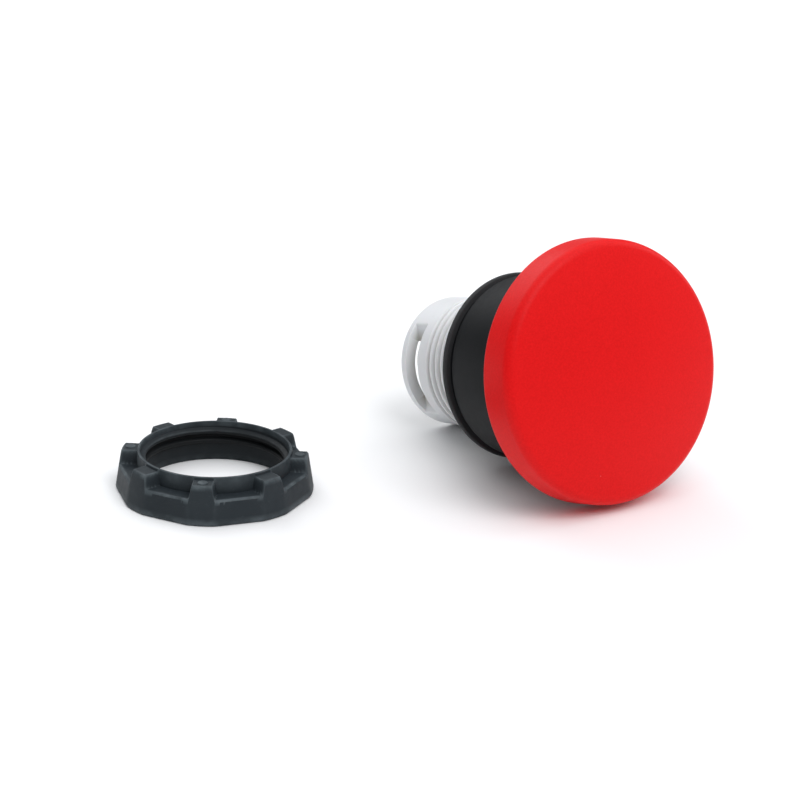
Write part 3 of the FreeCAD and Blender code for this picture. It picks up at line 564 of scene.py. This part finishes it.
def body(material):
    """The light grey body: neck, thread, tail with its windows, bores and web."""
    steps = 360
    angles = np.arange(steps) * FULL_TURN / steps
    front = [(NECK_ROOT, 0.0), (NECK_ROOT, FLANGE_REAR), (FLANGE_RADIUS, FLANGE_REAR), (FLANGE_RADIUS, FLANGE_FRONT),
             (TUBE_RADIUS, FLANGE_FRONT), (TUBE_RADIUS, TUBE_TOP), (TUBE_BORE, TUBE_TOP), (TUBE_BORE, WEB_FRONT),
             (GUIDE_BORE, WEB_FRONT), (GUIDE_BORE, WEB_REAR), (TAIL_BORE, WEB_REAR), (TAIL_BORE, CLIP_GROOVE_FRONT),
             (CLIP_GROOVE_RADIUS, CLIP_GROOVE_FRONT), (CLIP_GROOVE_RADIUS, CLIP_GROOVE_REAR),
             (TAIL_BORE, CLIP_GROOVE_REAR)]
    lip = WINDOW_LIP
    rear = -TAIL_LENGTH
    windows = [edge + shift for edge in (WINDOW_LOW, WINDOW_HIGH) for shift in (-2 * lip, -lip, 0, lip, 2 * lip)]
    smooth = list(np.arange(rear + 0.8, -THREAD_END - 0.6, 0.4))
    outer_z = np.array(sorted({
        *(rear + rise for rise, _ in TAIL_ROUND), *windows,
        *(z for z in smooth if min(abs(z - w) for w in windows) > 0.1),
        *np.arange(-THREAD_END - 0.4, -NECK_LENGTH, 0.08), -NECK_LENGTH, -NECK_LENGTH + 0.1, -1.0, 0.0}))
    inner_z = outer_z[outer_z < CLIP_GROOVE_REAR - 0.1]

    base = np.interp(
        outer_z,
        [*(rear + rise for rise, _ in TAIL_ROUND), -THREAD_END - 0.3, -THREAD_END,
         -NECK_LENGTH, -NECK_LENGTH + 0.1],
        [*(TAIL_RADIUS - drop for _, drop in TAIL_ROUND), TAIL_RADIUS, CREST_RADIUS, CREST_RADIUS, NECK_RADIUS])
    crest = thread_form(outer_z[None, :], angles[:, None], -THREAD_END - PITCH)
    run_in = np.clip((-NECK_LENGTH - 0.1 - outer_z) / 0.5, 0, 1) * (outer_z > -THREAD_END - 0.35)
    outer = np.tile(base, (steps, 1)) - THREAD_DEPTH * (1 - crest) * run_in[None, :]
    outer = np.maximum(outer, (base - THREAD_DEPTH)[None, :])

    inside = np.interp(outer_z, [WINDOW_LOW - lip, WINDOW_LOW, WINDOW_HIGH, WINDOW_HIGH + lip], [0, 1, 1, 0])
    softening = np.interp(outer_z, [WINDOW_LOW - 2 * lip, WINDOW_LOW - lip, WINDOW_LOW, WINDOW_HIGH,
                                    WINDOW_HIGH + lip, WINDOW_HIGH + 2 * lip], [0, 0.06, 0, 0, 0.06, 0])
    chord = np.minimum(WINDOW_CHORD / np.maximum(np.abs(np.cos(angles)), 0.01), TAIL_RADIUS)
    floor = np.maximum(chord, TAIL_BORE)[:, None]
    cut_here = (chord < TAIL_RADIUS - 0.05)[:, None]
    outer = np.where(inside[None, :] >= 1, np.minimum(outer, floor), outer - softening[None, :] * cut_here)

    front_r = np.array([p[0] for p in front])
    front_z = np.array([p[1] for p in front])
    inner = np.full((steps, len(inner_z)), TAIL_BORE)
    radius = np.concatenate([outer, np.tile(front_r, (steps, 1)), inner[:, ::-1]], 1)
    height = np.concatenate([np.tile(outer_z, (steps, 1)), np.tile(front_z, (steps, 1)),
                             np.tile(inner_z[::-1], (steps, 1))], 1)
    piece = turned_grid("body_shell", radius, height, HEAD, material, angles=angles, sharp=50,
                        tone=body_painted_shade, open_at=in_window)
    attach(piece, "head_housing")
    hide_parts("threaded_body")
    return piece


def body_painted_shade(radius, height):
    """Where the body's painted shade goes: 1 in the thread's grooves and inside the bores, 0 on the outside."""
    groove = np.clip((CREST_RADIUS - 0.1 - radius) / THREAD_DEPTH, 0, 1) * (height > -THREAD_END - 0.3)
    return np.maximum(groove, np.clip((TAIL_RADIUS - 0.4 - radius) / 1.2, 0, 1))


# ---------------------------------------------------------------- the nut
def soft_step(value, low, high):
    """0 below low, 1 above high and a smooth rise between."""
    t = np.clip((value - low) / (high - low), 0, 1)
    return t * t * (3 - 2 * t)


def nut_skirt_radius(angle, height):
    """Outside radius of the drafted skirt: a cone whose eight flats lie between the lugs."""
    cone = NUT_RADIUS - NUT_DRAFT * height
    turn = (angle + math.pi / LUGS) % (FULL_TURN / LUGS) - math.pi / LUGS
    to_flat = np.pi / LUGS - np.abs(turn)
    flat = cone * NUT_FLAT_SHARE / np.cos(to_flat)
    return cone - SKIRT_BLEND * np.log(1 + np.exp((cone - flat) / SKIRT_BLEND))


def nut(material):
    """The mounting nut, as a section that changes with the angle."""
    lug_turn = FULL_TURN / LUGS
    edge_angle = LUG_HALF_BASE / LUG_MIDDLE
    stops = [-lug_turn / 2, -edge_angle * 1.35, -edge_angle * 0.6, edge_angle * 0.6, edge_angle * 1.35, lug_turn / 2]
    within = np.concatenate([np.linspace(start, end, count, endpoint=False)
                             for start, end, count in zip(stops, stops[1:], (14, 16, 10, 16, 14))])
    angles = np.concatenate([within + i * lug_turn for i in range(LUGS)])
    rows = []
    for angle in angles:
        off = (angle + lug_turn / 2) % lug_turn - lug_turn / 2
        rows.append(nut_section(angle, off))
    grid = np.array(rows)
    piece = turned_grid("nut_ring", grid[:, :, 0], grid[:, :, 1], NUT, material, angles=angles, sharp=60,
                        tone=nut_painted_shade)
    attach(piece, "loose_nut")
    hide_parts("mounting_nut")
    return piece


def nut_painted_shade(radius, height):
    """Where the nut's painted shade goes: 1 inside the nut's bore below the ridge's crest, 0 on its rim and outside.
    """
    return np.clip((RIM_BORE + 0.1 - radius) / 0.2, 0, 1) * np.clip((NUT_HEIGHT - 0.5 - height) / 1.2, 0, 1)


def nut_marks(material):
    """The low round marks that stand on every second lug."""
    steps = 40
    profile = [(PIP_RADIUS + 0.02, -0.25), (PIP_RADIUS, PIP_HEIGHT - 0.06), (PIP_RADIUS - 0.02, PIP_HEIGHT - 0.02),
               (PIP_RADIUS - 0.06, PIP_HEIGHT)]
    points, faces = [], []
    for mark in range(LUGS // 2):
        turn = mark * 2 * FULL_TURN / LUGS
        middle = Vector((PIP_REACH * math.cos(turn), PIP_REACH * math.sin(turn), LUG_TOP))
        first = len(points)
        for radius, height in profile:
            for step in range(steps):
                around = step * FULL_TURN / steps
                points.append(middle + Vector((radius * math.cos(around), radius * math.sin(around), height)))
        for row in range(len(profile) - 1):
            for step in range(steps):
                near, far = step, (step + 1) % steps
                faces.append([first + row * steps + near, first + row * steps + far,
                              first + (row + 1) * steps + far, first + (row + 1) * steps + near])
        top = first + (len(profile) - 1) * steps
        faces.append([top + step for step in range(steps)])
        faces.append([first + step for step in reversed(range(steps))])
    piece = mesh_piece("nut_marks", points, faces, NUT, material)
    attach(piece, "loose_nut")
    return piece


def nut_section(angle, off):
    """The nut's closed section at one angle; off is the angle from the nearest lug's middle."""
    walls = np.array(SKIRT_HEIGHTS)
    outer_r = nut_skirt_radius(angle, walls) - np.array(SKIRT_ROUND)
    ring_r = RIM_RADIUS - (RIM_RADIUS - RIM_TOP_RADIUS) * LEDGE / NUT_HEIGHT
    edge_r = float(nut_skirt_radius(angle, LEDGE))
    across = np.linspace(1, 0, 14)
    shelf_r = ring_r + (edge_r - ring_r) * across
    aside = np.abs(shelf_r * math.sin(off))
    rise = 1 - soft_step(aside, LUG_HALF_TOP - LUG_BLEND, LUG_HALF_BASE + LUG_BLEND)
    level = LEDGE + (LUG_TOP - LEDGE) * rise
    to_edge = np.clip(1 - (edge_r - shelf_r) / LUG_EDGE, 0, 1)
    level -= LUG_EDGE * (1 - np.sqrt(1 - to_edge ** 2)) * (shelf_r > edge_r - LUG_EDGE)
    shelf_r = shelf_r - NUT_DRAFT * (level - LEDGE) * across
    side_share = np.array([0.25, 0.5, 0.75])
    low_side = walls[-1] + (level[0] - walls[-1]) * side_share
    side_r = outer_r[-1] + (shelf_r[0] - outer_r[-1]) * side_share
    rim = rounded([(ring_r, LEDGE, 0), (RIM_TOP_RADIUS, NUT_HEIGHT, 0.13), (RIM_BORE, NUT_HEIGHT, 0.08),
                   (RIDGE_ROOT, NUT_HEIGHT - 0.6, 0)], segments=4)[1:-1]
    bore_z = np.linspace(NUT_HEIGHT - 0.7, COUNTERBORE_DEPTH + 0.05, 34)
    crest = thread_form(bore_z, angle, RIDGE_REAR - PITCH / 2)
    fade = soft_step(bore_z, RIDGE_REAR - 0.5, RIDGE_REAR - 0.2) * (1 - soft_step(bore_z, *RIDGE_FRONT))
    bore_r = RIDGE_ROOT - (RIDGE_ROOT - RIDGE_CREST) * crest * fade
    points = [*zip(outer_r, walls), *zip(side_r, low_side), *zip(shelf_r, level), *rim, *zip(bore_r, bore_z),
              (RIM_BORE, COUNTERBORE_DEPTH), (RIM_BORE, 1.2), (RIM_BORE, BORE_LEAD), (RIM_BORE + BORE_LEAD, 0.0)]
    return np.array([(float(r), float(z)) for r, z in points])


# ---------------------------------------------------------------- floor, lights, camera
CAMERA_AZIMUTH = -34.27
CAMERA_ELEVATION = 20.5
CAMERA_DISTANCE = 0.3654
CAMERA_ROLL = 1.74
CAMERA_LENS = 97.4
TARGET_FROM_SEAT = Vector((-3.02 * MM, 28.45 * MM, 0))


def bench():
    """A large white floor."""
    mesh = bpy.data.meshes.new("bench")
    half = 6.0
    mesh.from_pydata([(-half, -half, 0), (half, -half, 0), (half, half, 0), (-half, half, 0)], [], [(0, 1, 2, 3)])
    floor = bpy.data.objects.new("bench", mesh)
    bpy.context.scene.collection.objects.link(floor)
    look = Look("white_bench")
    look.set(Base_Color=(0.95, 0.95, 0.95, 1), Roughness=0.55, Specular_IOR_Level=0.12)
    mesh.materials.append(look.material)


def softbox(name, place, target, size, power, tint=(1, 1, 1)):
    data = bpy.data.lights.new(name, "AREA")
    data.shape = "RECTANGLE"
    data.size, data.size_y = size
    data.energy = power
    data.color = tint
    lamp = bpy.data.objects.new(name, data)
    lamp.location = place
    lamp.rotation_euler = (Vector(target) - Vector(place)).to_track_quat("-Z", "Y").to_euler()
    bpy.context.scene.collection.objects.link(lamp)


def lights():
    cool = (0.965, 0.98, 1.0)
    softbox("overhead", (0.05, 0.10, 0.9), (0, 0, 0), (1.3, 1.3), 6.3, cool)
    softbox("back", (0, 1.1, 0.8), (0, 0, 0), (1.0, 0.8), 4.6, cool)
    softbox("front_high", (0, -0.8, 1.1), (0, 0, 0), (0.8, 0.8), 7.5, cool)
    softbox("front_right", (0.6, -0.9, 0.8), (0, 0, 0), (0.7, 0.7), 0.8, cool)
    softbox("right", (1.0, -0.1, 0.5), (0, 0, 0), (0.6, 0.6), 2.3, cool)
    world = bpy.data.worlds.new("room")
    world.use_nodes = True
    background = world.node_tree.nodes["Background"]
    background.inputs["Color"].default_value = (0.96, 0.975, 1, 1)
    background.inputs["Strength"].default_value = 0.28
    bpy.context.scene.world = world
    bpy.context.scene.view_settings.view_transform = "Standard"


def camera():
    a, e = math.radians(CAMERA_AZIMUTH), math.radians(CAMERA_ELEVATION)
    back = Vector((math.sin(a) * math.cos(e), -math.cos(a) * math.cos(e), math.sin(e)))
    data = bpy.data.cameras.new("camera")
    data.lens = CAMERA_LENS
    data.clip_start = 0.01
    made = bpy.data.objects.new("camera", data)
    target = Vector((seat_centre.x, seat_centre.y, 0)) + TARGET_FROM_SEAT
    made.location = target + back * CAMERA_DISTANCE
    aim = (-back).to_track_quat("-Z", "Y")
    made.rotation_mode = "QUATERNION"
    made.rotation_quaternion = aim @ Matrix.Rotation(math.radians(CAMERA_ROLL), 3, "Z").to_quaternion()
    bpy.context.scene.collection.objects.link(made)
    bpy.context.scene.camera = made


# ---------------------------------------------------------------- making it all
def finish_cad_nodes(materials):
    """Gives each CAD node that stays its material."""
    for node, material in materials.items():
        slots = frame["nodes"][node].data.materials
        slots.clear()
        slots.append(material)


red = red_plastic()
black = black_plastic()
gasket_rubber = dull_rubber("gasket_rubber", (0.011, 0.0115, 0.0130), (0.018, 0.0185, 0.0200))
seal_rubber = dull_rubber("seal_rubber", (0.016, 0.016, 0.017), (0.030, 0.030, 0.031))
light = light_plastic()
slate = slate_plastic()
inner = grey_plastic("inner_plastic", (0.22, 0.23, 0.24), (0.28, 0.29, 0.30))
keeper = grey_plastic("keeper_plastic", (0.020, 0.020, 0.022), (0.034, 0.034, 0.036))
zinc = plated_steel("zinc_steel", (0.52, 0.53, 0.54), (0.70, 0.71, 0.72), 0.25, 0.40)
wire = plated_steel("spring_wire", (0.36, 0.36, 0.37), (0.54, 0.54, 0.55), 0.25, 0.42)
brass = plated_steel("turned_brass", (0.62, 0.44, 0.17), (0.80, 0.60, 0.28), 0.22, 0.36)

cap(red)
collar(black)
gasket(gasket_rubber)
body(light)
nut(slate)
nut_marks(slate)
finish_cad_nodes({
    "cap_insert": brass, "cap_screw": zinc, "screw_washer": wire, "plunger": inner,
    "plunger_ring_seal": seal_rubber, "contact_actuator": keeper, "wiper_ring": seal_rubber,
    "flange_seal": seal_rubber, "spring_seat_washer": zinc, "return_spring": wire, "latch_spring": wire,
    "latch_keeper": keeper, "retaining_ring": wire})

bench()
lights()
camera()
